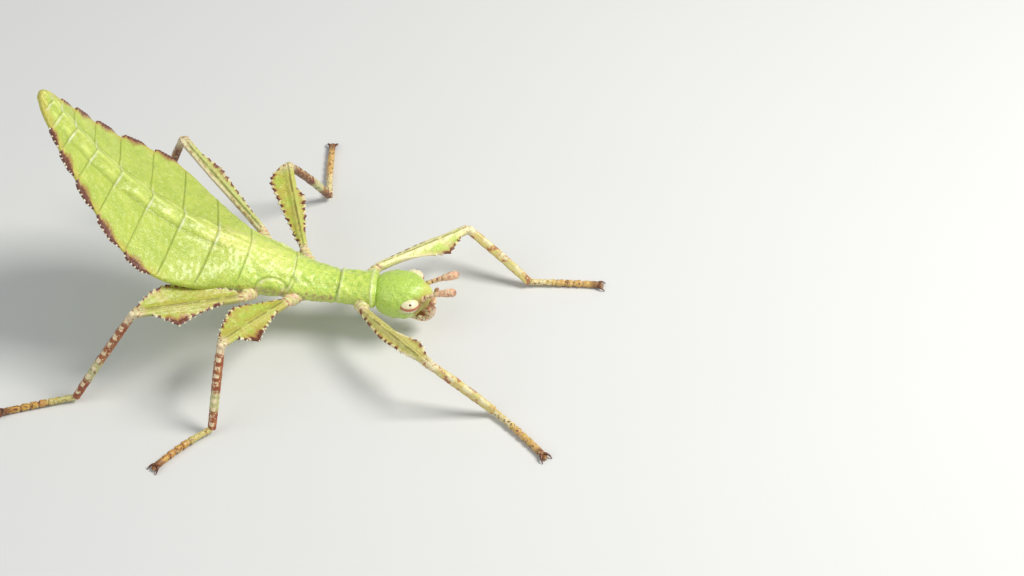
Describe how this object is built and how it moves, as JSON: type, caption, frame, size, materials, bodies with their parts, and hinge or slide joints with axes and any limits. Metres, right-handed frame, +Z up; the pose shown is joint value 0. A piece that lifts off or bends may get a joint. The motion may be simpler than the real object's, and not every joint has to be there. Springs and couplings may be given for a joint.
{
  "type": "leaf insect model",
  "caption": "Still life-size model of a young green leaf insect standing on its feet, broad leaf-like abdomen curled up behind, flat toothed thighs spread wide.",
  "frame": {"origin": "on the floor under the middle of the whole model's box", "axes": "+X towards the head, +Y to the insect's left, +Z up; the back lies in a plane parallel to XZ"},
  "size_m": [0.0654, 0.054, 0.0322],
  "materials": {
    "abdomen": "waxy lime-green leaf skin with fine granules, maroon edge lobes and white edge teeth",
    "thorax": "pale yellow-green cuticle, slightly glossy, pink spots at the hips",
    "head": "deeper green granular cuticle",
    "eyes": "glossy cream with a red-brown stripe and a dark dot",
    "antennae": "cream-pink clubs with red-brown rings",
    "mouthparts": "whitish green with pink and red-brown dots",
    "coxae": "cream-pink folded skin with red-brown spots",
    "femora": "yellow-olive leaf lobes with maroon toothed edges and white teeth",
    "tibiae": "red-brown with a row of cream dots and a green band",
    "tarsi": "orange-brown foot joints with dark spots"
  },
  "bodies": {
    "root": {"abdomen_10": "abdomen", "abdomen_2": "abdomen", "abdomen_3": "abdomen", "abdomen_4": "abdomen", "abdomen_5": "abdomen", "abdomen_6": "abdomen", "abdomen_7": "abdomen", "abdomen_8": "abdomen", "abdomen_9": "abdomen", "antenna_left": "antennae", "antenna_right": "antennae", "eye_left": "eyes", "eye_right": "eyes", "front_left_coxa": "coxae", "front_left_femur": "femora", "front_left_tarsus": "tarsi", "front_left_tibia": "tibiae", "front_right_coxa": "coxae", "front_right_femur": "femora", "front_right_tarsus": "tarsi", "front_right_tibia": "tibiae", "head": "head", "hind_left_coxa": "coxae", "hind_left_femur": "femora", "hind_left_tarsus": "tarsi", "hind_left_tibia": "tibiae", "hind_right_coxa": "coxae", "hind_right_femur": "femora", "hind_right_tarsus": "tarsi", "hind_right_tibia": "tibiae", "mesothorax": "thorax", "metathorax": "thorax", "middle_left_coxa": "coxae", "middle_left_femur": "femora", "middle_left_tarsus": "tarsi", "middle_left_tibia": "tibiae", "middle_right_coxa": "coxae", "middle_right_femur": "femora", "middle_right_tarsus": "tarsi", "middle_right_tibia": "tibiae", "mouthparts": "mouthparts", "palp_left": "mouthparts", "palp_right": "mouthparts", "pronotum": "thorax"}
  },
  "joints": []
}
